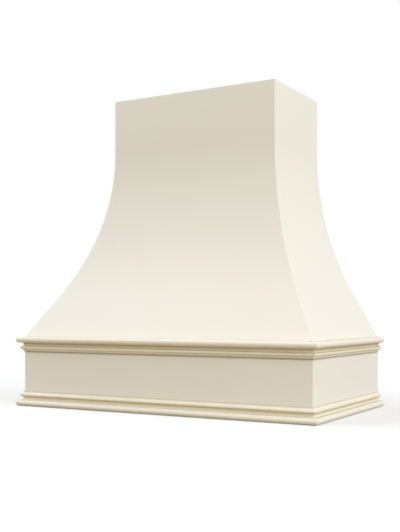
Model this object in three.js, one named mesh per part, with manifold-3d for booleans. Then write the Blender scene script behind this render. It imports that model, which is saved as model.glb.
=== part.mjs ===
// A wooden range hood cover, 36 inches wide: the painted joinery that hides a kitchen extractor.
//
// Millimetres, +Z up, front towards -Y. The back lies against the wall. The origin is under the
// middle of the whole cover, at the height of its bottom rim.
//
// Three bent plywood skins, mitred along two hips, form a chimney that flares out at the foot.
// Curved ribs, bevelled hip ribs and short jack ribs carry them between a top frame and a base
// frame. Under the base frame an apron of mitred boards wears two mouldings and holds the ledges
// that a metal liner is screwed to.

import * as THREE from 'three';
import { mergeVertices } from 'three/addons/utils/BufferGeometryUtils.js';
import Module from 'manifold-3d';

const wasm = await Module();
wasm.setup();

// ---- driving dimensions ----

// The outside of the body.
const chimneyWidth = 533.4;
const chimneyDepth = 304.8;
const chimneyHeight = 158.75;
const flareHeight = 552.45;
const flareReach = 190.5;
const flareTail = 112;
const apronHeight = 203.2;

// Skins, and the glue line between pieces that meet on a slope or a curve.
const skinThickness = 9.5;
const glueLine = 0.3;

// Ribs: width across the curve, thickness of the board they are cut from, and their places.
const ribWidth = 50.8;
const ribThickness = 19;
const frontRibSpacing = 155;
const sideRibFromWall = 140;
const hipRibWidth = 70;
const hipRibThickness = 38;
const jackRibFromCorner = 110;

// Top frame and base frame, lying flat, half-lapped at their corners.
const topRailWidth = 50.8;
const topRailThickness = 19;
const baseRailWidth = 76.2;
const baseRailThickness = 19;

// Apron boards, corner posts and liner ledges.
const apronThickness = 19;
const postSize = 31.75;
const ledgeHeight = 38;
const ledgeThickness = 19;
const ledgeSetUp = 19;

// Nailers that are screwed to the studs.
const upperNailerHeight = 89;
const lowerNailerHeight = 89;
const nailerThickness = 19;

// Moulding section, from its nose end: nose, cove, bead, small cove and thin edge. Projections are
// measured from the apron's face, and the cove's depth from the line that its lips lie on.
const noseRadius = 8.6;
const noseProjection = 19.05;
const coveHeight = 10.8;
const coveProjection = 7;
const coveDepth = 4;
const beadRadius = 4;
const beadProjection = 10;
const edgeCove = 4;
const edgeProjection = 3;
const edgeHeight = 2.9;

// Facets, and how close points are before they count as one.
const bendSteps = 32;
const arcSteps = 10;
const samePoint = 1e-4;

// ---- sizes that follow ----

const bodyTop = apronHeight + flareHeight + chimneyHeight;
const bendStart = apronHeight + flareHeight;
const overallDepth = chimneyDepth + flareReach + noseProjection;
const ribInset = skinThickness + glueLine;
const topFrameUnderside = bodyTop - topRailThickness;
const baseFrameUnderside = apronHeight - baseRailThickness;
const apronInside = flareReach - apronThickness - glueLine;
const bendAngle = solveBendAngle();
const bendRadius = (flareHeight - flareTail) / Math.sin(bendAngle);

// ---- materials ----

const paint = { color: 0xf0eadc, roughness: 0.5, metalness: 0 };
const plywood = { color: 0xcfae7d, roughness: 0.75, metalness: 0 };
const poplar = { color: 0xc9b489, roughness: 0.7, metalness: 0 };

// ---- the flare ----

// The bend's angle: an arc that starts upright, then a straight run of flareTail in height, end
// flareReach out from the chimney.
function solveBendAngle() {
  const halvings = 60;
  let low = 0;
  let high = Math.PI / 2;
  for (let step = 0; step < halvings; step += 1) {
    const angle = (low + high) / 2;
    const reach = (flareHeight - flareTail) * Math.tan(angle / 2) + flareTail * Math.tan(angle);
    if (reach < flareReach) {
      low = angle;
    } else {
      high = angle;
    }
  }
  return low;
}

// The flare's line, from top to bottom, set in by inset from the outer surface. X is the distance
// out from the chimney's face and Y is the height.
function flareLine(inset, bottom, top) {
  const radius = bendRadius + inset;
  const points = [new THREE.Vector2(-inset, top)];
  for (let step = 0; step <= bendSteps; step += 1) {
    const angle = bendAngle * step / bendSteps;
    const out = bendRadius - radius * Math.cos(angle);
    points.push(new THREE.Vector2(out, bendStart - radius * Math.sin(angle)));
  }
  const bendEnd = points[points.length - 1];
  const tailRun = (bendEnd.y - bottom) * Math.tan(bendAngle);
  points.push(new THREE.Vector2(bendEnd.x + tailRun, bottom));
  return points;
}

// The section between two lines of the flare.
function flareBand(outerInset, innerInset, bottom, top) {
  const outer = flareLine(outerInset, bottom, top);
  const inner = flareLine(innerInset, bottom, top);
  return new THREE.Shape([...outer, ...inner.reverse()]);
}

// ---- geometry helpers ----

function rectangle(left, right, bottom, top) {
  return new THREE.Shape([
    new THREE.Vector2(left, bottom),
    new THREE.Vector2(right, bottom),
    new THREE.Vector2(right, top),
    new THREE.Vector2(left, top),
  ]);
}

// A section in X and Y, run along Z from start to end.
function run(section, start, end) {
  const settings = { depth: end - start, bevelEnabled: false, curveSegments: arcSteps };
  return new THREE.ExtrudeGeometry(section, settings).translate(0, 0, start);
}

// A section run along one face of the body, mitred where that face meets the next one. The
// body's corner is square, so a mitred end moves out by as much as the section does.
function mitredRun(section, faceLength, mitres) {
  const geometry = run(section, 0, faceLength);
  const position = geometry.getAttribute('position');
  const setBack = glueLine / Math.SQRT2;
  for (let index = 0; index < position.count; index += 1) {
    const out = position.getX(index) - setBack;
    if (position.getZ(index) < faceLength / 2) {
      position.setZ(index, mitres.start ? -out : 0);
    } else {
      position.setZ(index, mitres.end ? faceLength + out : faceLength);
    }
  }
  geometry.computeVertexNormals();
  return geometry;
}

function block(from, to) {
  const geometry = new THREE.BoxGeometry(to[0] - from[0], to[1] - from[1], to[2] - from[2]);
  return geometry.translate(
    (from[0] + to[0]) / 2,
    (from[1] + to[1]) / 2,
    (from[2] + to[2]) / 2,
  );
}

function toSolid(geometry) {
  const bare = geometry.clone();
  bare.deleteAttribute('normal');
  bare.deleteAttribute('uv');
  const merged = mergeVertices(bare, samePoint);
  const vertProperties = new Float32Array(merged.getAttribute('position').array);
  const triVerts = new Uint32Array(merged.getIndex().array);
  return new wasm.Manifold(new wasm.Mesh({ numProp: 3, vertProperties, triVerts }));
}

function toGeometry(solid) {
  const mesh = solid.getMesh();
  const geometry = new THREE.BufferGeometry();
  geometry.setAttribute('position', new THREE.BufferAttribute(mesh.vertProperties, 3));
  geometry.setIndex(new THREE.BufferAttribute(mesh.triVerts, 1));
  geometry.computeVertexNormals();
  return geometry;
}

// ---- scene graph ----

// The cover is drawn with the wall at Y = 0, then moved so that its middle is over the origin.
const cover = new THREE.Group();
cover.position.y = overallDepth / 2;

// Each face of the body has a group whose X points out from the chimney's face, Y up, and Z
// along the face: right to left on the front, wall to corner on the right, corner to wall on
// the left.
function faceGroup(out, along, corner) {
  const group = new THREE.Group();
  const up = new THREE.Vector3(0, 0, 1);
  group.quaternion.setFromRotationMatrix(new THREE.Matrix4().makeBasis(out, up, along));
  group.position.copy(corner);
  cover.add(group);
  return group;
}

const faces = {
  front: {
    group: faceGroup(
      new THREE.Vector3(0, -1, 0),
      new THREE.Vector3(-1, 0, 0),
      new THREE.Vector3(chimneyWidth / 2, -chimneyDepth, 0),
    ),
    length: chimneyWidth,
    mitres: { start: true, end: true },
  },
  right: {
    group: faceGroup(
      new THREE.Vector3(1, 0, 0),
      new THREE.Vector3(0, -1, 0),
      new THREE.Vector3(chimneyWidth / 2, 0, 0),
    ),
    length: chimneyDepth,
    mitres: { start: false, end: true },
  },
  left: {
    group: faceGroup(
      new THREE.Vector3(-1, 0, 0),
      new THREE.Vector3(0, 1, 0),
      new THREE.Vector3(-chimneyWidth / 2, -chimneyDepth, 0),
    ),
    length: chimneyDepth,
    mitres: { start: true, end: false },
  },
};

function addPiece(parent, name, geometry, finish) {
  const mesh = new THREE.Mesh(geometry, new THREE.MeshStandardMaterial(finish));
  mesh.name = name;
  parent.add(mesh);
  return mesh;
}

// ---- skins, apron boards and mouldings, mitred round the three faces ----

// The moulding's outline, drawn with its nose at the bottom: a half-round nose, a cove, a bead, a
// small cove and a thin edge on the apron.
function mouldingOutline() {
  const back = flareReach + glueLine;
  const noseCentre = flareReach + noseProjection - noseRadius;
  const lips = flareReach + coveProjection;
  const edge = flareReach + edgeProjection;
  const coveStart = 2 * noseRadius;
  const beadStart = coveStart + coveHeight;
  const beadEnd = beadStart + 2 * beadRadius;
  const edgeStart = beadEnd + edgeCove;
  const quarter = Math.PI / 2;
  const outline = new THREE.Path();
  outline.moveTo(back, 0);
  outline.lineTo(noseCentre, 0);
  outline.absarc(noseCentre, noseRadius, noseRadius, -quarter, quarter, false);
  outline.absellipse(
    lips, (coveStart + beadStart) / 2, coveDepth, coveHeight / 2, -quarter, quarter, true, 0,
  );
  outline.absellipse(
    lips, beadStart + beadRadius, beadProjection - coveProjection, beadRadius,
    -quarter, quarter, false, 0,
  );
  outline.absellipse(lips, edgeStart, lips - edge, edgeCove, -quarter, -2 * quarter, true, 0);
  outline.lineTo(edge, edgeStart + edgeHeight);
  outline.lineTo(back, edgeStart + edgeHeight);
  return distinct(outline.getPoints(arcSteps));
}

function distinct(points) {
  return points.filter((point, index) => (
    index === 0 || point.distanceTo(points[index - 1]) > samePoint
  ));
}

// The same outline with its nose at the top, up against the foot of the flare.
function turnedOver(points) {
  return points.map((point) => new THREE.Vector2(point.x, apronHeight - point.y));
}

function addMitredPieces() {
  const skinSection = flareBand(0, skinThickness, apronHeight, bodyTop);
  const apronSection = rectangle(flareReach - apronThickness, flareReach, 0, apronHeight);
  const lowerSection = new THREE.Shape(mouldingOutline());
  const upperSection = new THREE.Shape(turnedOver(mouldingOutline()));
  for (const [side, face] of Object.entries(faces)) {
    const mitred = (section) => mitredRun(section, face.length, face.mitres);
    addPiece(face.group, `skin_${side}`, mitred(skinSection), paint);
    addPiece(face.group, `apron_${side}`, mitred(apronSection), paint);
    addPiece(face.group, `upper_moulding_${side}`, mitred(upperSection), paint);
    addPiece(face.group, `lower_moulding_${side}`, mitred(lowerSection), paint);
  }
}

// ---- ribs ----

function ribSection() {
  return flareBand(ribInset, ribInset + ribWidth, apronHeight, topFrameUnderside);
}

function addRibs() {
  const middle = chimneyWidth / 2;
  const frontPlaces = {
    right: middle - frontRibSpacing,
    centre: middle,
    left: middle + frontRibSpacing,
  };
  for (const [name, place] of Object.entries(frontPlaces)) {
    const rib = run(ribSection(), place - ribThickness / 2, place + ribThickness / 2);
    addPiece(faces.front.group, `front_rib_${name}`, rib, plywood);
  }
  for (const side of ['left', 'right']) {
    const fromWall = { wall: ribThickness / 2, middle: sideRibFromWall };
    for (const [name, distance] of Object.entries(fromWall)) {
      const place = side === 'right' ? distance : chimneyDepth - distance;
      const rib = run(ribSection(), place - ribThickness / 2, place + ribThickness / 2);
      addPiece(faces[side].group, `${side}_rib_${name}`, rib, plywood);
    }
  }
}

// The space inside the skins, less the glue line: one bell run across, one run front to back.
function insideOfSkins() {
  const bottom = apronHeight;
  const top = topFrameUnderside;
  const line = flareLine(ribInset, bottom, top);
  const right = line.map((point) => new THREE.Vector2(chimneyWidth / 2 + point.x, point.y));
  const left = right.map((point) => new THREE.Vector2(-point.x, point.y)).reverse();
  const bell = run(new THREE.Shape([...right, ...left]), 0, chimneyDepth + flareReach);
  const front = line.map((point) => new THREE.Vector2(chimneyDepth + point.x, point.y));
  const back = [new THREE.Vector2(0, bottom), new THREE.Vector2(0, top)];
  const halfSpan = chimneyWidth / 2 + flareReach;
  const slope = run(new THREE.Shape([...front, ...back]), -halfSpan, halfSpan);
  bell.rotateX(Math.PI / 2);
  slope.rotateX(Math.PI / 2).rotateZ(-Math.PI / 2);
  return toSolid(bell).intersect(toSolid(slope));
}

// A board that stands on the diagonal of a corner. In the diagonal's plane the flare reaches out
// by the square root of two times as much as it does square to a face.
function hipBoard(side) {
  const stretch = (point) => new THREE.Vector2(point.x * Math.SQRT2, point.y);
  const outer = flareLine(0, apronHeight, topFrameUnderside).map(stretch);
  const shift = ribInset * Math.SQRT2 + hipRibWidth;
  const inner = outer.map((point) => new THREE.Vector2(point.x - shift, point.y)).reverse();
  const board = run(
    new THREE.Shape([...outer, ...inner]), -hipRibThickness / 2, hipRibThickness / 2,
  );
  const direction = side === 'right' ? -Math.PI / 4 : -Math.PI * 3 / 4;
  const x = side === 'right' ? chimneyWidth / 2 : -chimneyWidth / 2;
  return board.rotateX(Math.PI / 2).rotateZ(direction).translate(x, -chimneyDepth, 0);
}

// The hip ribs take their two bevels, which follow the curve, from the inside of the skins.
function addHipRibs() {
  const inside = insideOfSkins();
  for (const side of ['left', 'right']) {
    const rib = toSolid(hipBoard(side)).intersect(inside);
    addPiece(cover, `hip_rib_${side}`, toGeometry(rib), plywood);
  }
}

// A jack rib stands beyond the chimney's corner, so its head is cut off on the hip rib's side.
function jackRib(cornerAt, direction) {
  const from = cornerAt + direction * (flareReach - jackRibFromCorner) - ribThickness / 2;
  const rib = run(ribSection(), from, from + ribThickness);
  const reach = 2 * (flareReach + chimneyDepth);
  const hipFace = (hipRibThickness / 2 + glueLine) * Math.SQRT2;
  const beyondHip = new THREE.Shape([
    new THREE.Vector2(-reach, direction * (-reach - hipFace)),
    new THREE.Vector2(reach, direction * (reach - hipFace)),
    new THREE.Vector2(-reach, direction * (reach - hipFace)),
  ]);
  const cut = run(beyondHip, -bodyTop, 0).rotateX(Math.PI / 2).translate(0, 0, cornerAt);
  return toGeometry(toSolid(rib).subtract(toSolid(cut)));
}

function addJackRibs() {
  const front = faces.front;
  const right = faces.right;
  const left = faces.left;
  addPiece(front.group, 'front_jack_rib_right', jackRib(0, -1), plywood);
  addPiece(front.group, 'front_jack_rib_left', jackRib(front.length, 1), plywood);
  addPiece(right.group, 'right_jack_rib', jackRib(right.length, 1), plywood);
  addPiece(left.group, 'left_jack_rib', jackRib(0, -1), plywood);
}

// ---- half-lapped frames ----

// A flat rail whose ends are halved over lapLength, on top or underneath.
function halvedRail(start, end, lapLength, thickness, lapOnTop) {
  const half = thickness / 2;
  const full = lapOnTop ? 0 : thickness;
  return new THREE.Shape([
    new THREE.Vector2(start, half),
    new THREE.Vector2(start, full),
    new THREE.Vector2(end, full),
    new THREE.Vector2(end, half),
    new THREE.Vector2(end - lapLength, half),
    new THREE.Vector2(end - lapLength, thickness - full),
    new THREE.Vector2(start + lapLength, thickness - full),
    new THREE.Vector2(start + lapLength, half),
  ]);
}

// Four rails round a rectangle that ends at the wall: the front and back rails lie over the
// ends of the side rails.
function addFrame(name, halfWidth, depth, railWidth, thickness, underside) {
  const across = halvedRail(-halfWidth, halfWidth, railWidth, thickness, false);
  const along = halvedRail(0, depth, railWidth, thickness, true);
  const acrossPlaces = { front: railWidth - depth, back: 0 };
  for (const [side, place] of Object.entries(acrossPlaces)) {
    const rail = run(across, 0, railWidth).rotateX(Math.PI / 2);
    addPiece(cover, `${name}_${side}`, rail, poplar).position.set(0, place, underside);
  }
  const alongPlaces = { left: -halfWidth, right: halfWidth - railWidth };
  for (const [side, place] of Object.entries(alongPlaces)) {
    const rail = run(along, 0, railWidth).rotateX(Math.PI / 2).rotateZ(-Math.PI / 2);
    addPiece(cover, `${name}_${side}`, rail, poplar).position.set(place + railWidth, 0, underside);
  }
}

function addFrames() {
  const topHalfWidth = chimneyWidth / 2 - ribInset;
  const topDepth = chimneyDepth - ribInset;
  addFrame(
    'top_rail', topHalfWidth, topDepth, topRailWidth, topRailThickness, topFrameUnderside,
  );
  const baseHalfWidth = chimneyWidth / 2 + apronInside;
  const baseDepth = chimneyDepth + apronInside;
  addFrame(
    'base_rail', baseHalfWidth, baseDepth, baseRailWidth, baseRailThickness, baseFrameUnderside,
  );
}

// ---- apron posts, ledges and nailers ----

function addPosts() {
  const outerX = chimneyWidth / 2 + apronInside;
  const places = { front: postSize - chimneyDepth - apronInside, wall: 0 };
  for (const [name, y] of Object.entries(places)) {
    const right = block(
      [outerX - postSize, y - postSize, ledgeSetUp], [outerX, y, baseFrameUnderside],
    );
    const left = block(
      [-outerX, y - postSize, ledgeSetUp], [postSize - outerX, y, baseFrameUnderside],
    );
    addPiece(cover, `apron_post_${name}_right`, right, poplar);
    addPiece(cover, `apron_post_${name}_left`, left, poplar);
  }
}

function addLedges() {
  const outerX = chimneyWidth / 2 + apronInside;
  const frontY = -chimneyDepth - apronInside;
  const between = outerX - postSize;
  const top = ledgeSetUp + ledgeHeight;
  const ledges = {
    front: [[-between, frontY, ledgeSetUp], [between, frontY + ledgeThickness, top]],
    back: [[-between, -ledgeThickness, ledgeSetUp], [between, 0, top]],
    right: [
      [outerX - ledgeThickness, frontY + postSize, ledgeSetUp],
      [outerX, -postSize, top],
    ],
    left: [
      [-outerX, frontY + postSize, ledgeSetUp],
      [ledgeThickness - outerX, -postSize, top],
    ],
  };
  for (const [side, corners] of Object.entries(ledges)) {
    addPiece(cover, `liner_ledge_${side}`, block(...corners), poplar);
  }
}

function addNailers() {
  const upperHalf = chimneyWidth / 2 - ribInset - ribWidth;
  const upper = block(
    [-upperHalf, -nailerThickness, topFrameUnderside - upperNailerHeight],
    [upperHalf, 0, topFrameUnderside],
  );
  addPiece(cover, 'wall_nailer_upper', upper, poplar);
  const lowerHalf = chimneyWidth / 2 + apronInside - postSize;
  const lower = block(
    [-lowerHalf, -nailerThickness, baseFrameUnderside - lowerNailerHeight],
    [lowerHalf, 0, baseFrameUnderside],
  );
  addPiece(cover, 'wall_nailer_lower', lower, poplar);
}

addMitredPieces();
addRibs();
addHipRibs();
addJackRibs();
addFrames();
addPosts();
addLedges();
addNailers();

export default cover;
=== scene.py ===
"""The looks of a painted wooden range hood cover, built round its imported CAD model.

Metres, +Z up, wall towards +Y. The painted shell (skins, apron and mouldings) is remade here with
smooth bends and eased edges. The timber inside it is the CAD model's own, with wood materials, and
the screws that join it are added here.
"""

import math

import bmesh
import bpy
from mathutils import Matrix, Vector


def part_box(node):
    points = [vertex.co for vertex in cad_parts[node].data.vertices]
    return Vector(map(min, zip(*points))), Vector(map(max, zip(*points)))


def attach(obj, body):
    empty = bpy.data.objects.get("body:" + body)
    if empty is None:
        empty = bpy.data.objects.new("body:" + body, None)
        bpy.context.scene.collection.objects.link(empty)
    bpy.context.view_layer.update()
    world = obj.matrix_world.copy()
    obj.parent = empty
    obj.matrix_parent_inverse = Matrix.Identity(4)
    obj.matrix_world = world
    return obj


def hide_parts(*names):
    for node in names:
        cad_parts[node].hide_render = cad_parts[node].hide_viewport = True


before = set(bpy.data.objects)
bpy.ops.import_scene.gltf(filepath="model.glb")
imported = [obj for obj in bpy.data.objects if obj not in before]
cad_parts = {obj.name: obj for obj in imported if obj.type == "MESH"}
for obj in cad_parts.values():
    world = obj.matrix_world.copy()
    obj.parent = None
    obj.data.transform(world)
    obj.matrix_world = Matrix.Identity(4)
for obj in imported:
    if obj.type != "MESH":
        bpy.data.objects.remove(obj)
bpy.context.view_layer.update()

MM = 0.001

# ---- sizes that the CAD model gives ----

WALL_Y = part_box("apron_right")[1].y
APRON_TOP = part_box("apron_front")[1].z
APRON_FRONT_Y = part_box("apron_front")[0].y
BASE_FRAME_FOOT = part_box("base_rail_front")[0].z
BODY_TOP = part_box("skin_front")[1].z
HALF_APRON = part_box("apron_right")[1].x
APRON_THICKNESS = HALF_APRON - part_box("apron_right")[0].x

# ---- sizes that the CAD model doesn't give by itself ----

SKIN = 9.5 * MM
STRAIGHT_HEIGHT = 158.75 * MM
FLARE_TAIL = 112 * MM

HALF_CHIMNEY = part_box("skin_right")[0].x + SKIN
FLARE_REACH = HALF_APRON - HALF_CHIMNEY
CHIMNEY_FRONT_Y = APRON_FRONT_Y + FLARE_REACH
BEND_START = BODY_TOP - STRAIGHT_HEIGHT

# The moulding's section, from its nose end, projections measured from the apron's face.
NOSE_RADIUS = 8.6 * MM
NOSE_PROJECTION = 19.05 * MM
COVE_HEIGHT = 10.8 * MM
COVE_PROJECTION = 7 * MM
COVE_DEPTH = 4 * MM
BEAD_RADIUS = 4 * MM
BEAD_PROJECTION = 10 * MM
EDGE_COVE = 4 * MM
EDGE_PROJECTION = 3 * MM
EDGE_HEIGHT = 2.9 * MM

COVE_START = 2 * NOSE_RADIUS
BEAD_START = COVE_START + COVE_HEIGHT
BEAD_END = BEAD_START + 2 * BEAD_RADIUS
EDGE_START = BEAD_END + EDGE_COVE
MOULDING_HEIGHT = EDGE_START + EDGE_HEIGHT

# Radii that paint and sandpaper leave.
ARRIS = 1.2 * MM
MOULDING_MITRE = 0.8 * MM
BOARD_EDGE = 0.8 * MM
MOULDING_ARRIS = 0.4 * MM
TIMBER_EDGE = 0.7 * MM

# The least turn, in degrees, of a corner that is eased, or of an edge that is shaded as sharp.
BOARD_CORNER = 25
MOULDING_CORNER = 40
TIMBER_CORNER = 40
SHARP_EDGE = 35

# Where painted shade lies on a moulding, as darker, warmer lines at its joints and under its nose:
# out from the apron's face, height from the nose end, width and strength.
LOWER_SHADE_LINES = [
    (7 * MM, COVE_START - 0.4 * MM, 2 * MM, 0.55),
    (7 * MM, BEAD_START - 0.8 * MM, 2.4 * MM, 0.7),
    (2 * MM, MOULDING_HEIGHT, 1.8 * MM, 0.5),
]
UPPER_SHADE_LINES = [
    (1 * MM, 0, 3 * MM, 0.15),
    (6 * MM, COVE_START + 3.8 * MM, 3 * MM, 0.88),
    (7 * MM, BEAD_START, 2.3 * MM, 0.8),
    (2 * MM, MOULDING_HEIGHT + 1 * MM, 2.8 * MM, 0.92),
]

# An outline passes a line of painted shade where it comes within this many of the line's widths. It
# has extra points there, at these distances from the nearest one.
SHADE_LINE_REACH = 2
SHADE_LINE_STEP = 0.5 * MM
SHADE_LINE_STOPS = [step * SHADE_LINE_STEP for step in range(-9, 10)]

# Painted shade also lies all over a moulding's cove, as a darker, warmer colour: its middle, measured as
# above, and its reach.
COVE_SHADE_CENTRE = (5.5 * MM, COVE_START + 0.85 * COVE_HEIGHT)
COVE_SHADE_WIDTH = 9 * MM

BEND_STEPS = 96
TAIL_STEPS = 40
ARC_STEPS = 20
CORNER_STEPS = 6
EASE_STEPS = 4
TIMBER_EDGE_STEPS = 2
ANGLE_HALVINGS = 60
SAME_POINT = 0.01 * MM

# An eased corner takes at most this share of the line on either side of it.
EASE_LIMIT = 0.4

# ---- sides and directions ----

UP, DOWN = Vector((0, 0, 1)), Vector((0, 0, -1))
INWARD = {"front": Vector((0, 1, 0)), "left": Vector((1, 0, 0)), "right": Vector((-1, 0, 0))}

# The axis that the boards of each side run along.
RUNS_ALONG = {"front": "x", "back": "x", "left": "y", "right": "y"}


# ---- outlines: closed loops of (out, height), out measured from the chimney's face ----

def bend_angle():
    """The angle of a bend that, with the straight tail below it, reaches FLARE_REACH out."""
    height = BEND_START - APRON_TOP - FLARE_TAIL
    low, high = 0.0, math.pi / 2
    for _ in range(ANGLE_HALVINGS):
        angle = (low + high) / 2
        reach = height * math.tan(angle / 2) + FLARE_TAIL * math.tan(angle)
        low, high = (angle, high) if reach < FLARE_REACH else (low, angle)
    return low


def flare_line(inset):
    """The flare's line from the chimney's top down to the apron, inset from the outer face."""
    angle = bend_angle()
    radius = (BEND_START - APRON_TOP - FLARE_TAIL) / math.sin(angle)
    points = [(-inset, BODY_TOP)]
    for step in range(BEND_STEPS + 1):
        turn = angle * step / BEND_STEPS
        across = radius - (radius + inset) * math.cos(turn)
        points.append((across, BEND_START - (radius + inset) * math.sin(turn)))
    across, height = points[-1]
    for step in range(1, TAIL_STEPS + 1):
        drop = (height - APRON_TOP) * step / TAIL_STEPS
        points.append((across + drop * math.tan(angle), height - drop))
    return points


def arc(centre, radii, first, last, steps=ARC_STEPS):
    """Points on an ellipse's arc, angles in degrees."""
    points = []
    for step in range(steps + 1):
        angle = math.radians(first + (last - first) * step / steps)
        points.append((centre[0] + radii[0] * math.cos(angle), centre[1] + radii[1] * math.sin(angle)))
    return points


def eased(loop, radius, least_turn):
    """The closed loop with every corner sharper than least_turn rounded."""
    rounded = []
    for index, corner in enumerate(loop):
        here = Vector(corner)
        before = Vector(loop[index - 1]) - here
        after = Vector(loop[(index + 1) % len(loop)]) - here
        turn = math.pi - before.angle(after)
        if math.degrees(turn) < least_turn:
            rounded.append(corner)
            continue
        cut = min(radius * math.tan(turn / 2), EASE_LIMIT * before.length, EASE_LIMIT * after.length)
        start = here + before.normalized() * cut
        end = here + after.normalized() * cut
        for step in range(EASE_STEPS + 1):
            t = step / EASE_STEPS
            point = start * (1 - t) ** 2 + here * (2 * t * (1 - t)) + end * t ** 2
            rounded.append((point.x, point.y))
    return rounded


def spaced(stops, length):
    """0 and the stops between it and length, in order, without doubles."""
    kept = [0.0]
    for stop in sorted(stops):
        if kept[-1] + SAME_POINT < stop < length - SAME_POINT:
            kept.append(stop)
    return kept


def refined(loop, shade_lines):
    """The closed loop with points added beside the lines of painted shade, where the paint's colour
    changes.
    """
    points = []
    for index, corner in enumerate(loop):
        here, there = Vector(corner), Vector(loop[(index + 1) % len(loop)])
        length = (there - here).length
        along = (there - here) / length
        stops = []
        for out, height, width, _ in shade_lines:
            painted_shade = Vector((out, height))
            nearest = (painted_shade - here).dot(along)
            if (here + along * nearest - painted_shade).length < SHADE_LINE_REACH * width:
                stops += [nearest + stop for stop in SHADE_LINE_STOPS]
        points += [tuple(here + along * stop) for stop in spaced(stops, length)]
    return points


def skin_outline():
    return eased(flare_line(0) + flare_line(SKIN)[::-1], BOARD_EDGE, BOARD_CORNER)


def apron_outline():
    inner, outer = FLARE_REACH - APRON_THICKNESS, FLARE_REACH
    corners = [(outer, 0), (outer, APRON_TOP), (inner, APRON_TOP), (inner, 0)]
    return eased(corners, BOARD_EDGE, BOARD_CORNER)


def moulding_outline(nose_up):
    """Half-round nose, cove, bead, small cove and thin edge, drawn nose down or turned over."""
    face = FLARE_REACH
    nose = face + NOSE_PROJECTION - NOSE_RADIUS
    lips = face + COVE_PROJECTION
    edge = face + EDGE_PROJECTION
    swell = BEAD_PROJECTION - COVE_PROJECTION
    loop = [(face, 0)]
    loop += arc((nose, NOSE_RADIUS), (NOSE_RADIUS, NOSE_RADIUS), -90, 90)
    loop += arc((lips, (COVE_START + BEAD_START) / 2), (COVE_DEPTH, COVE_HEIGHT / 2), 270, 90)
    loop += arc((lips, BEAD_START + BEAD_RADIUS), (swell, BEAD_RADIUS), -90, 90)
    loop += arc((lips, EDGE_START), (lips - edge, EDGE_COVE), 270, 180)
    loop += [(edge, MOULDING_HEIGHT), (face, MOULDING_HEIGHT)]
    loop = [point for index, point in enumerate(loop) if math.dist(point, loop[index - 1]) > SAME_POINT]
    loop = eased(loop, MOULDING_ARRIS, MOULDING_CORNER)
    if nose_up:
        loop = [(out, APRON_TOP - height) for out, height in loop[::-1]]
    return loop


# ---- sweeping an outline round the cover ----

def columns(side, out, ease):
    """Points in plan along one face at a distance out, from mitre to mitre or mitre to wall."""
    half, front = HALF_CHIMNEY + out, CHIMNEY_FRONT_Y - out
    centre = (half - ease, front + ease)
    front_arc = arc(centre, (ease, ease), -90, -45, CORNER_STEPS)
    side_arc = arc(centre, (ease, ease), -45, 0, CORNER_STEPS)
    if side == "front":
        return [(-x, y) for x, y in front_arc[::-1]] + front_arc
    path = side_arc + [(half, WALL_Y)]
    return path if side == "right" else [(-x, y) for x, y in path]


def bell(distance):
    return math.exp(-distance ** 2)


def painted_shade_at(point, shade_lines):
    """How much painted shade darkens the paint at a point of an outline, from 0 to 1."""
    shade_amount = 0.0
    for out, height, width, strength in shade_lines:
        distance = math.dist(point, (out, height))
        shade_amount = max(shade_amount, strength * bell(distance / width))
    return shade_amount


def close_rings(body, rings):
    """Faces between every two rings that follow each other, and a face at each end."""
    for index, ring in enumerate(rings):
        below = rings[index - 1]
        for column in range(len(ring) - 1):
            body.faces.new((below[column], below[column + 1], ring[column + 1], ring[column]))
    body.faces.new([ring[0] for ring in rings])
    body.faces.new([ring[-1] for ring in rings][::-1])


def finish_piece(name, body):
    """An object of the mesh, its faces turned outwards and all but its sharp edges shaded smooth."""
    bmesh.ops.recalc_face_normals(body, faces=body.faces)
    mesh = bpy.data.meshes.new(name)
    body.to_mesh(mesh)
    body.free()
    mesh.polygons.foreach_set("use_smooth", [True] * len(mesh.polygons))
    mesh.set_sharp_from_angle(angle=math.radians(SHARP_EDGE))
    piece = bpy.data.objects.new(name, mesh)
    bpy.context.scene.collection.objects.link(piece)
    return piece


def sweep(name, side, outline, ease, shade_lines, cove_shade=None):
    """A closed piece: the outline run along one face, its ends cut on the mitre."""
    body = bmesh.new()
    # Each point carries its amount of painted shade: darker lines at the joints, a warmer colour over the
    # coves.
    painted_shade_layer = body.verts.layers.float.new("painted_shade")
    cove_shade_layer = body.verts.layers.float.new("cove_shade")
    rings = []
    for out, height in refined(outline, shade_lines):
        ring = [body.verts.new((x, y, height)) for x, y in columns(side, out, ease)]
        shade_amount = painted_shade_at((out, height), shade_lines)
        cove_shade_amount = bell(math.dist((out, height), cove_shade) / COVE_SHADE_WIDTH) if cove_shade else 0.0
        for vert in ring:
            vert[painted_shade_layer] = shade_amount
            vert[cove_shade_layer] = cove_shade_amount
        rings.append(ring)
    close_rings(body, rings)
    return finish_piece(name, body)


# ---- material helpers ----

# Most of a noise's values lie between these two.
NOISE_LOW, NOISE_HIGH = 0.3, 0.7

# A face looks along a direction where its normal's share in that direction is over this.
LOOKS_ALONG = 0.8

# The colour sockets of a mix node, which has others for its other kinds.
MIX_FACTOR, MIX_FIRST, MIX_SECOND = 0, 6, 7
MIX_RESULT = 2


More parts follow.
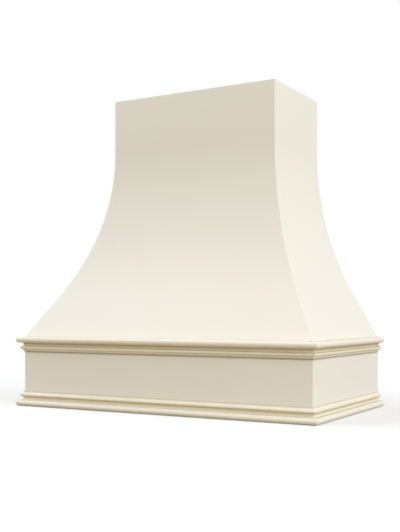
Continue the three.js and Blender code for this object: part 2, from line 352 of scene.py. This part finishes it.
class Nodes:
    """A small builder for one material's node tree."""

    def __init__(self, name):
        self.material = bpy.data.materials.new(name)
        self.material.use_nodes = True
        self.tree = self.material.node_tree
        self.shader = self.tree.nodes["Principled BSDF"]
        self.place = self.add("ShaderNodeTexCoord").outputs["Object"]

    def add(self, kind, **settings):
        node = self.tree.nodes.new(kind)
        for key, value in settings.items():
            setattr(node, key, value)
        return node

    def link(self, source, target):
        self.tree.links.new(source, target)

    def attribute(self, name):
        """A number that each point of the mesh carries."""
        return self.add("ShaderNodeAttribute", attribute_name=name).outputs["Fac"]

    def stretched(self, scale):
        node = self.add("ShaderNodeMapping")
        node.inputs["Scale"].default_value = scale
        self.link(self.place, node.inputs["Vector"])
        return node.outputs["Vector"]

    def noise(self, vector, scale, detail=2.0, distortion=0.0):
        node = self.add("ShaderNodeTexNoise")
        node.inputs["Scale"].default_value = scale
        node.inputs["Detail"].default_value = detail
        node.inputs["Distortion"].default_value = distortion
        self.link(vector, node.inputs["Vector"])
        return node.outputs["Fac"]

    def ramp(self, factor, stops):
        node = self.add("ShaderNodeValToRGB")
        points = node.color_ramp.elements
        while len(points) < len(stops):
            points.new(0.5)
        for point, (position, colour) in zip(points, stops):
            point.position = position
            point.color = (*colour, 1)
        self.link(factor, node.inputs["Fac"])
        return node.outputs["Color"]

    def spread(self, factor, low, high):
        """Maps a noise's usual range to low..high."""
        node = self.add("ShaderNodeMapRange")
        node.inputs["From Min"].default_value = NOISE_LOW
        node.inputs["From Max"].default_value = NOISE_HIGH
        node.inputs["To Min"].default_value = low
        node.inputs["To Max"].default_value = high
        self.link(factor, node.inputs["Value"])
        return node.outputs["Result"]

    def math(self, operation, first, second=0.0):
        """A sum with numbers or other nodes' outputs."""
        node = self.add("ShaderNodeMath", operation=operation)
        for socket, value in zip(node.inputs, (first, second)):
            if isinstance(value, (int, float)):
                socket.default_value = value
            else:
                self.link(value, socket)
        return node.outputs[0]

    def mix(self, factor, first, second):
        """A mix of two colours, either of which can be another node's output."""
        node = self.add("ShaderNodeMix", data_type="RGBA")
        self.link(factor, node.inputs[MIX_FACTOR])
        for index, colour in ((MIX_FIRST, first), (MIX_SECOND, second)):
            if isinstance(colour, tuple):
                node.inputs[index].default_value = (*colour, 1)
            else:
                self.link(colour, node.inputs[index])
        return node.outputs[MIX_RESULT]

    def bump(self, height, strength, distance):
        node = self.add("ShaderNodeBump")
        node.inputs["Strength"].default_value = strength
        node.inputs["Distance"].default_value = distance
        self.link(height, node.inputs["Height"])
        return node.outputs["Normal"]

    def dot(self, vector, direction):
        node = self.add("ShaderNodeVectorMath", operation="DOT_PRODUCT")
        node.inputs[1].default_value = direction
        self.link(vector, node.inputs[0])
        return node.outputs["Value"]

    def length(self, vector):
        node = self.add("ShaderNodeVectorMath", operation="LENGTH")
        self.link(vector, node.inputs[0])
        return node.outputs["Value"]

    def looks_along(self, direction):
        """1 on faces that look along the direction or against it, 0 on the others."""
        normal = self.add("ShaderNodeNewGeometry").outputs["True Normal"]
        facing = self.math("ABSOLUTE", self.dot(normal, direction))
        return self.math("GREATER_THAN", facing, LOOKS_ALONG)

    def finish(self, colour, roughness, normal):
        self.link(colour, self.shader.inputs["Base Color"])
        self.link(roughness, self.shader.inputs["Roughness"])
        self.link(normal, self.shader.inputs["Normal"])
        return self.material


def srgb(red, green, blue):
    """A colour written in the usual 0 to 255 numbers, as linear values."""
    def straight(value):
        value /= 255
        return value / 12.92 if value <= 0.04045 else ((value + 0.055) / 1.055) ** 2.4
    return tuple(straight(value) for value in (red, green, blue))


def by_axis(axis, along, across):
    """Three values for x, y and z: one for the axis and another for the two across it."""
    return [along if letter == axis else across for letter in "xyz"]


# ---- materials ----

PAINT = srgb(242, 236, 222)
PAINT_WARM = srgb(240, 233, 217)
MOULDING_PAINT = srgb(243, 235, 216)
# The colour of painted shade over the mouldings' coves.
PAINTED_COVE_SHADE_COLOUR = srgb(236, 225, 194)
# The colour of painted shade at the mouldings' joints and under their noses.
PAINTED_SHADE_COLOUR = srgb(150, 120, 62)


def make_paint(name, colour):
    """Satin enamel, cream, with painted shade: darker and warmer at the mouldings' joints, under their
    noses and over their coves.
    """
    nodes = Nodes(name)
    cloud = nodes.noise(nodes.place, scale=3.0, detail=3)
    body = nodes.mix(nodes.spread(cloud, low=0.0, high=0.35), colour, PAINT_WARM)
    # Painted shade over the coves: a darker, warmer colour.
    cove_shaded = nodes.mix(nodes.attribute("cove_shade"), body, PAINTED_COVE_SHADE_COLOUR)
    # Painted shade: darker, warmer lines at the joints and under the noses.
    shaded = nodes.mix(nodes.attribute("painted_shade"), cove_shaded, PAINTED_SHADE_COLOUR)
    brushing = nodes.noise(nodes.place, scale=22.0, detail=4)
    film = nodes.noise(nodes.place, scale=650.0)
    roughness = nodes.spread(brushing, low=0.60, high=0.70)
    return nodes.finish(shaded, roughness, nodes.bump(film, strength=0.10, distance=0.15 * MM))


TIMBER_PALE = srgb(222, 196, 152)
TIMBER_MIDDLE = srgb(205, 172, 122)
TIMBER_DARK = srgb(172, 134, 86)
GROWTH_RING = [(0.0, TIMBER_PALE), (0.7, TIMBER_MIDDLE), (0.93, TIMBER_DARK), (1.0, TIMBER_PALE)]
LINES_PER_SWING = 7.0
RINGS_PER_METRE = 240
RING_DRIFT = 1.5


def timber_side(nodes, grain_axis, fibre):
    """The colour of a planed side: growth lines and fibres run along the grain."""
    drawn_out = nodes.stretched(by_axis(grain_axis, along=0.7, across=24.0))
    growth = nodes.noise(drawn_out, scale=2.0, distortion=0.3)
    years = nodes.math("MULTIPLY", growth, LINES_PER_SWING)
    lines = nodes.ramp(nodes.math("FRACT", years), GROWTH_RING)
    return nodes.mix(nodes.spread(fibre, low=0.0, high=0.35), lines, TIMBER_DARK)


def timber_end(nodes, grain_axis):
    """The colour of a sawn end: growth rings in arcs round one pith, with fine pores."""
    section = nodes.stretched(by_axis(grain_axis, along=0.0, across=1.0))
    drift = nodes.math("MULTIPLY", nodes.noise(section, scale=14.0), RING_DRIFT)
    years = nodes.math("ADD", nodes.math("MULTIPLY", nodes.length(section), RINGS_PER_METRE), drift)
    rings = nodes.ramp(nodes.math("FRACT", years), GROWTH_RING)
    pores = nodes.noise(nodes.place, scale=900.0)
    return nodes.mix(nodes.spread(pores, low=0.1, high=0.5), rings, TIMBER_DARK)


def make_timber(name, grain_axis):
    """Planed softwood, its grain along one axis."""
    nodes = Nodes(name)
    fibre = nodes.noise(nodes.stretched(by_axis(grain_axis, along=14.0, across=900.0)), scale=1.0)
    is_end = nodes.looks_along(by_axis(grain_axis, along=1.0, across=0.0))
    colour = nodes.mix(is_end, timber_side(nodes, grain_axis, fibre), timber_end(nodes, grain_axis))
    roughness = nodes.spread(fibre, low=0.62, high=0.78)
    return nodes.finish(colour, roughness, nodes.bump(fibre, strength=0.25, distance=0.1 * MM))


PLY_FLECK = srgb(190, 154, 108)
PLY_FACE = [(0.3, srgb(224, 199, 160)), (0.5, srgb(212, 182, 138)), (0.72, PLY_FLECK)]
PLY_PALE = srgb(222, 192, 146)
PLY_DARK = srgb(150, 108, 66)
TWO_PLIES = [(0.0, PLY_PALE), (0.46, PLY_PALE), (0.52, PLY_DARK), (0.96, PLY_DARK)]
PLIES = 13
SHEET_THICKNESS = 19 * MM


def make_plywood(name, across):
    """Birch plywood whose sheet stands square to the direction across: plies show on its edges."""
    nodes = Nodes(name)
    drawn_out = nodes.stretched(by_axis("z", along=2.0, across=40.0))
    figure = nodes.noise(drawn_out, scale=1.6, detail=4, distortion=0.8)
    pairs = nodes.math("MULTIPLY", nodes.dot(nodes.place, across), PLIES / 2 / SHEET_THICKNESS)
    plies = nodes.ramp(nodes.math("FRACT", pairs), TWO_PLIES)
    speck = nodes.noise(nodes.place, scale=420.0)
    edge = nodes.mix(nodes.spread(speck, low=0.0, high=0.4), plies, PLY_FLECK)
    colour = nodes.mix(nodes.looks_along(across), edge, nodes.ramp(figure, PLY_FACE))
    roughness = nodes.spread(speck, low=0.66, high=0.8)
    return nodes.finish(colour, roughness, nodes.bump(speck, strength=0.2, distance=0.1 * MM))


VENEER = [(0.3, srgb(226, 197, 158)), (0.5, srgb(215, 181, 139)), (0.7, srgb(196, 156, 112))]
VENEER_PORE = srgb(158, 116, 76)


def make_bending_ply(name, wide_axis):
    """The bare inner face of a skin that is wide along the axis: open veneer, its grain running down."""
    nodes = Nodes(name)
    drawn_out = nodes.stretched(by_axis(wide_axis, along=34.0, across=1.6))
    figure = nodes.noise(drawn_out, scale=1.5, detail=4, distortion=0.5)
    lines = nodes.stretched(by_axis(wide_axis, along=1100.0, across=26.0))
    pores = nodes.noise(lines, scale=1.0, detail=1)
    colour = nodes.mix(nodes.spread(pores, low=0.0, high=0.3), nodes.ramp(figure, VENEER), VENEER_PORE)
    roughness = nodes.spread(pores, low=0.66, high=0.82)
    return nodes.finish(colour, roughness, nodes.bump(pores, strength=0.3, distance=0.12 * MM))


ZINC_YELLOW = srgb(206, 172, 100)
ZINC_GREY = srgb(180, 160, 118)


def make_screw_steel():
    """Yellow zinc plating, a little uneven in colour and gloss."""
    nodes = Nodes("yellow_zinc_steel")
    nodes.shader.inputs["Metallic"].default_value = 1.0
    patches = nodes.noise(nodes.place, scale=260.0, detail=3)
    colour = nodes.mix(nodes.spread(patches, low=0.0, high=1.0), ZINC_YELLOW, ZINC_GREY)
    scuffs = nodes.noise(nodes.place, scale=1400.0)
    roughness = nodes.spread(scuffs, low=0.28, high=0.45)
    return nodes.finish(colour, roughness, nodes.bump(scuffs, strength=0.15, distance=0.05 * MM))


DIAGONAL = math.sqrt(0.5)

paint = make_paint("cream_enamel", PAINT)
moulding_paint = make_paint("cream_enamel_on_mouldings", MOULDING_PAINT)
screw_steel = make_screw_steel()
timbers = {axis: make_timber(f"timber_along_{axis}", axis) for axis in "xyz"}
bending_plies = {axis: make_bending_ply(f"bending_ply_across_{axis}", axis) for axis in "xy"}
plywoods = {
    "x": make_plywood("plywood_across_x", (1, 0, 0)),
    "y": make_plywood("plywood_across_y", (0, 1, 0)),
    "hip_right": make_plywood("plywood_hip_right", (DIAGONAL, DIAGONAL, 0)),
    "hip_left": make_plywood("plywood_hip_left", (DIAGONAL, -DIAGONAL, 0)),
}


# ---- the painted shell ----

# A face is left bare where its normal's share in the bare direction is over this.
BARE_FACE = 0.7


def add_painted(piece, node, material):
    piece.data.materials.append(material)
    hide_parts(node)
    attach(piece, "root")


def leave_bare(piece, material, *directions):
    """Faces of the piece that look along one of the directions are left unpainted."""
    piece.data.materials.append(material)
    bare = len(piece.data.materials) - 1
    for face in piece.data.polygons:
        if any(face.normal.dot(direction) > BARE_FACE for direction in directions):
            face.material_index = bare


def placed(spot, nose_up):
    """A spot on a moulding, moved to where its section is drawn."""
    out, height, *rest = spot
    return (FLARE_REACH + out, APRON_TOP - height if nose_up else height, *rest)


def add_skin(side, shade_lines):
    skin = sweep(f"painted_skin_{side}", side, skin_outline(), ARRIS, shade_lines)
    add_painted(skin, f"skin_{side}", paint)
    leave_bare(skin, bending_plies[RUNS_ALONG[side]], INWARD[side])


def add_apron(side, shade_lines):
    apron = sweep(f"painted_apron_{side}", side, apron_outline(), ARRIS, shade_lines)
    add_painted(apron, f"apron_{side}", paint)
    leave_bare(apron, timbers[RUNS_ALONG[side]], INWARD[side], UP)


def add_moulding(level, side, shade_lines):
    nose_up = level == "upper"
    name = f"{level}_nose_moulding_{side}"
    # Where painted shade lies over this moulding's cove.
    cove_shade = placed(COVE_SHADE_CENTRE, nose_up)
    moulding = sweep(name, side, moulding_outline(nose_up), MOULDING_MITRE, shade_lines, cove_shade)
    add_painted(moulding, f"{level}_moulding_{side}", moulding_paint)


def build_shell():
    # Painted shade lines: at the skins' feet, on the aprons beside each moulding's edge and at each
    # moulding's joints.
    low_shade_lines = [placed(spot, nose_up=False) for spot in LOWER_SHADE_LINES]
    high_shade_lines = [placed(spot, nose_up=True) for spot in UPPER_SHADE_LINES]
    for side in ("front", "left", "right"):
        add_skin(side, high_shade_lines[:1])
        add_apron(side, [low_shade_lines[-1], high_shade_lines[-1]])
        add_moulding("lower", side, low_shade_lines)
        add_moulding("upper", side, high_shade_lines)


# ---- the timber inside ----

def dress(node, material):
    """Gives a CAD piece its material and eases its edges without touching its mesh."""
    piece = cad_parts[node]
    for slot in piece.material_slots:
        slot.material = material
    weld = piece.modifiers.new("join_faces", "WELD")
    weld.merge_threshold = SAME_POINT
    bevel = piece.modifiers.new("ease_edges", "BEVEL")
    bevel.width = TIMBER_EDGE
    bevel.segments = TIMBER_EDGE_STEPS
    bevel.limit_method = "ANGLE"
    bevel.angle_limit = math.radians(TIMBER_CORNER)


def wood_of(node):
    """The material of a CAD piece inside the shell, or None for the shell's own pieces."""
    side = node.rsplit("_", 1)[-1]
    if node.startswith("hip_rib"):
        return plywoods[f"hip_{side}"]
    if "rib" in node:
        return plywoods["x" if node.startswith("front_") else "y"]
    if node.startswith("apron_post"):
        return timbers["z"]
    if node.startswith("wall_nailer"):
        return timbers["x"]
    if node.startswith(("top_rail", "base_rail", "liner_ledge")):
        return timbers[RUNS_ALONG[side]]
    return None


def dress_timber():
    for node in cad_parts:
        wood = wood_of(node)
        if wood is not None:
            dress(node, wood)


# ---- countersunk screws that join the timber ----

HEAD_RADIUS = 3.9 * MM
HEAD_PROUD = 0.02 * MM
HEAD_RIM = 0.4 * MM
HEAD_DEPTH = 2.4 * MM
SHANK_RADIUS = 2 * MM
TIP_RADIUS = 0.3 * MM
CROSS_REACH = 2.1 * MM
CROSS_HALF_WIDTH = 0.55 * MM
CROSS_DEPTH = 1.6 * MM
LAP_SCREW = 16 * MM
RAIL_SCREW = 45 * MM
LEDGE_SCREW = 32 * MM

# Where a screw's point begins, as a share of its length.
POINT_START = 0.75

# How far from the middle of a lap its screws lie, as a share of the lap's size.
LAP_SPREAD = 0.22

# Places of screws, as shares of a rail's breadth or of a piece's length.
ONE_ACROSS = (0.5,)
TWO_ACROSS = (0.25, 0.75)
THREE_ALONG = (0.15, 0.5, 0.85)
FOUR_ALONG = (0.1, 0.37, 0.63, 0.9)
ALONG_LEDGES = {"front": FOUR_ALONG, "left": THREE_ALONG, "right": THREE_ALONG}

# The ribs that reach the top frame, and all that stand on the base frame.
TOP_RIBS = {
    "front": ["front_rib_left", "front_rib_centre", "front_rib_right"],
    "left": ["left_rib_middle"],
    "right": ["right_rib_middle"],
}
BASE_RIBS = {
    "front": TOP_RIBS["front"] + ["front_jack_rib_left", "front_jack_rib_right"],
    "left": TOP_RIBS["left"] + ["left_jack_rib"],
    "right": TOP_RIBS["right"] + ["right_jack_rib"],
}


def cross_outline():
    """The twelve corners of a driver's cross, anticlockwise from the lower corner of its right arm."""
    reach, half = CROSS_REACH, CROSS_HALF_WIDTH
    arm = [(reach, -half), (reach, half), (half, half)]
    corners = []
    for _ in range(4):
        corners += arm
        arm = [(-y, x) for x, y in arm]
    return corners


def add_screw(body, place, outward, length):
    """A screw whose head lies in the face at place and looks outward. Its ring has two points a corner."""
    turn = outward.to_track_quat("Z", "Y")

    def ring(points, depth):
        return [body.verts.new(place + turn @ Vector((x, y, HEAD_PROUD - depth))) for x, y in points]

    def circle(radius):
        return [(radius * math.cos(angle), radius * math.sin(angle)) for angle in angles]

    corners = cross_outline()
    segments = 2 * len(corners)
    angles = [2 * math.pi * (step - 1) / segments for step in range(segments)]
    profile = [
        (HEAD_RADIUS, 0), (HEAD_RADIUS, HEAD_RIM), (SHANK_RADIUS, HEAD_DEPTH),
        (SHANK_RADIUS, POINT_START * length), (TIP_RADIUS, length),
    ]
    rings = [ring(circle(radius), depth) for radius, depth in profile]
    for upper, lower in zip(rings, rings[1:]):
        for index in range(segments):
            body.faces.new((upper[index - 1], upper[index], lower[index], lower[index - 1]))
    body.faces.new(rings[-1])
    mouth, floor = ring(corners, 0), ring(corners, CROSS_DEPTH)
    for index in range(len(corners)):
        rim = [rings[0][(2 * index + step) % segments] for step in (-2, -1, 0)]
        body.faces.new((*rim, mouth[index], mouth[index - 1]))
        body.faces.new((mouth[index - 1], mouth[index], floor[index], floor[index - 1]))
    body.faces.new(floor)


def add_screws(name, screws):
    """One piece of several screws, each given as its place, its outward direction and its length."""
    body = bmesh.new()
    for place, outward, length in screws:
        add_screw(body, Vector(place), outward, length)
    piece = finish_piece(name, body)
    piece.data.materials.append(screw_steel)
    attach(piece, "root")


def middle(node):
    low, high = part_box(node)
    return (low + high) / 2


def lap_places(kind, end, side):
    """Two places on the corner lap of two rails, on the diagonal that keeps off the outer corner."""
    first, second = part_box(f"{kind}_{end}"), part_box(f"{kind}_{side}")
    low_x, high_x = max(first[0].x, second[0].x), min(first[1].x, second[1].x)
    low_y, high_y = max(first[0].y, second[0].y), min(first[1].y, second[1].y)
    slant = 1 if (side == "right") == (end == "front") else -1
    across = LAP_SPREAD * (high_x - low_x)
    along = LAP_SPREAD * (high_y - low_y) * slant
    middle_x, middle_y = (low_x + high_x) / 2, (low_y + high_y) / 2
    return [(middle_x + across, middle_y + along), (middle_x - across, middle_y - along)]


def frame_screws(kind, ribs, shares, height, outward):
    """Screws through the laps of a frame's rails, and through the rails into the ribs."""
    screws = []
    for end in ("front", "back"):
        for side in ("left", "right"):
            screws += [((x, y, height), outward, LAP_SCREW) for x, y in lap_places(kind, end, side)]
    for side, nodes in ribs.items():
        low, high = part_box(f"{kind}_{side}")
        for rib in nodes:
            for share in shares:
                rail = low.lerp(high, share)
                x, y = (middle(rib).x, rail.y) if side == "front" else (rail.x, middle(rib).y)
                screws.append(((x, y, height), outward, RAIL_SCREW))
    return screws


def nailer_screws():
    """Screws down through the back rails into the nailers below them."""
    screws = []
    for nailer, height in (("wall_nailer_upper", BODY_TOP), ("wall_nailer_lower", APRON_TOP)):
        low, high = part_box(nailer)
        for share in THREE_ALONG:
            x = low.lerp(high, share).x
            screws.append(((x, middle(nailer).y, height), UP, RAIL_SCREW))
    return screws


def ledge_screws():
    """Screws through the liner's ledges into the apron, their heads on the inner faces."""
    screws = []
    for side, shares in ALONG_LEDGES.items():
        ledge = f"liner_ledge_{side}"
        low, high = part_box(ledge)
        for share in shares:
            place = low.lerp(high, share)
            place.z = middle(ledge).z
            if side == "front":
                place.y = high.y
            else:
                place.x = high.x if side == "left" else low.x
            screws.append((place, INWARD[side], LEDGE_SCREW))
    return screws


def screw_timber():
    add_screws("top_frame_screws", frame_screws("top_rail", TOP_RIBS, ONE_ACROSS, BODY_TOP, UP))
    add_screws("base_frame_screws", frame_screws("base_rail", BASE_RIBS, TWO_ACROSS, BASE_FRAME_FOOT, DOWN))
    add_screws("wall_nailer_screws", nailer_screws())
    add_screws("liner_ledge_screws", ledge_screws())


# ---- camera ----

IMAGE_SIZE = (400, 532)
SENSOR = 36.0

# The photograph's camera, from its vanishing points and the cover's corners: metres and degrees.
CAMERA_PLACE = (1.2646, -2.1953, 0.2715)
CAMERA_TURN = 29.566
FOCAL_PIXELS = 862.66
CENTRE_PIXEL = (204.66, 313.54)


def add_camera():
    data = bpy.data.cameras.new("camera")
    data.sensor_width = SENSOR
    data.lens = FOCAL_PIXELS * SENSOR / IMAGE_SIZE[1]
    data.shift_x = (IMAGE_SIZE[0] / 2 - CENTRE_PIXEL[0]) / IMAGE_SIZE[1]
    data.shift_y = (CENTRE_PIXEL[1] - IMAGE_SIZE[1] / 2) / IMAGE_SIZE[1]
    camera = bpy.data.objects.new("camera", data)
    camera.location = CAMERA_PLACE
    camera.rotation_euler = (math.pi / 2, 0, math.radians(CAMERA_TURN))
    bpy.context.scene.collection.objects.link(camera)
    bpy.context.scene.camera = camera


# ---- lights ----

WHITE = (1.0, 1.0, 1.0)
BLACK = (0.0, 0.0, 0.0)

AMBIENT = 0.435
AMBIENT_COLOUR = (1.0, 0.943, 0.86)

# A sun's share is how bright it makes a white surface that faces it.
LEFT_SUN_TOWARDS = (-0.837, -0.224, 0.5)
LEFT_SUN_SHARE = 0.805
RIGHT_SUN_TOWARDS = (0.866, 0.0, 0.5)
RIGHT_SUN_SHARE = 0.675
SUN_ANGLE = 60
SUN_COLOUR = (0.80, 0.88, 1.0)

SOFTBOX_PLACE = (1.3, -1.8, 0.5)
SOFTBOX_AIM = (0.0, 0.0, 0.45)
SOFTBOX_POWER = 5.1
SOFTBOX_SIZE = 1.0


def add_lamp(name, kind, energy, towards):
    """A lamp that stands in the direction towards and shines back along it."""
    data = bpy.data.lights.new(name, kind)
    data.energy = energy
    lamp = bpy.data.objects.new(name, data)
    lamp.rotation_mode = "QUATERNION"
    lamp.rotation_quaternion = Vector(towards).to_track_quat("Z", "Y")
    bpy.context.scene.collection.objects.link(lamp)
    return lamp


def add_sun(name, towards, share):
    """A soft distant light."""
    sun = add_lamp(name, "SUN", share * math.pi, towards)
    sun.data.angle = math.radians(SUN_ANGLE)
    sun.data.color = SUN_COLOUR


def add_softbox():
    """A square lamp near the object, hidden from the camera."""
    towards = Vector(SOFTBOX_PLACE) - Vector(SOFTBOX_AIM)
    softbox = add_lamp("softbox_in_front", "AREA", SOFTBOX_POWER, towards)
    softbox.location = SOFTBOX_PLACE
    softbox.data.size = SOFTBOX_SIZE
    softbox.visible_camera = False


def add_world():
    """Pale light on the object's own colours, and plain white for the camera and for gloss."""
    world = bpy.data.worlds.new("studio")
    world.use_nodes = True
    tree = world.node_tree
    tree.nodes.clear()
    rays = tree.nodes.new("ShaderNodeLightPath")
    lit = tree.nodes.new("ShaderNodeBackground")
    lit.inputs["Color"].default_value = (*AMBIENT_COLOUR, 1)
    lit.inputs["Strength"].default_value = AMBIENT
    white = tree.nodes.new("ShaderNodeBackground")
    white.inputs["Color"].default_value = (*WHITE, 1)
    mixed = tree.nodes.new("ShaderNodeMixShader")
    tree.links.new(rays.outputs["Is Diffuse Ray"], mixed.inputs[0])
    tree.links.new(white.outputs[0], mixed.inputs[1])
    tree.links.new(lit.outputs[0], mixed.inputs[2])
    out = tree.nodes.new("ShaderNodeOutputWorld")
    tree.links.new(mixed.outputs[0], out.inputs["Surface"])
    bpy.context.scene.world = world


def light_scene():
    add_world()
    add_sun("lamp_from_left", LEFT_SUN_TOWARDS, LEFT_SUN_SHARE)
    add_sun("lamp_from_right", RIGHT_SUN_TOWARDS, RIGHT_SUN_SHARE)
    add_softbox()


# ---- floor ----

FLOOR_SIZE = 60.0
FLOOR_DROP = 0.3 * MM

# Its colour and its own light where it is seen, and its colour where it throws light on the cover.
FLOOR_SEEN = (0.62, 0.61, 0.59)
FLOOR_GLOW = (0.375, 0.375, 0.375)
FLOOR_BOUNCE = (0.326, 0.263, 0.154)


def make_floor_material():
    """White with a light shadow where it is seen, darker where it lights the object, clear from below."""
    nodes = Nodes("pale_floor")
    lighting = nodes.add("ShaderNodeLightPath").outputs["Is Diffuse Ray"]
    nodes.link(nodes.mix(lighting, FLOOR_SEEN, FLOOR_BOUNCE), nodes.shader.inputs["Base Color"])
    nodes.link(nodes.mix(lighting, FLOOR_GLOW, BLACK), nodes.shader.inputs["Emission Color"])
    nodes.shader.inputs["Emission Strength"].default_value = 1.0
    nodes.shader.inputs["Roughness"].default_value = 0.9
    nodes.shader.inputs["Specular IOR Level"].default_value = 0.0
    one_sided = nodes.add("ShaderNodeMixShader")
    nodes.link(nodes.add("ShaderNodeNewGeometry").outputs["Backfacing"], one_sided.inputs[0])
    nodes.link(nodes.shader.outputs[0], one_sided.inputs[1])
    nodes.link(nodes.add("ShaderNodeBsdfTransparent").outputs[0], one_sided.inputs[2])
    nodes.link(one_sided.outputs[0], nodes.tree.nodes["Material Output"].inputs["Surface"])
    return nodes.material


def add_floor():
    body = bmesh.new()
    bmesh.ops.create_grid(body, x_segments=1, y_segments=1, size=FLOOR_SIZE / 2)
    mesh = bpy.data.meshes.new("floor")
    body.to_mesh(mesh)
    body.free()
    mesh.materials.append(make_floor_material())
    floor = bpy.data.objects.new("floor", mesh)
    floor.location.z = -FLOOR_DROP
    bpy.context.scene.collection.objects.link(floor)


build_shell()
dress_timber()
screw_timber()
add_camera()
light_scene()
add_floor()

bpy.context.scene.view_settings.view_transform = "Standard"
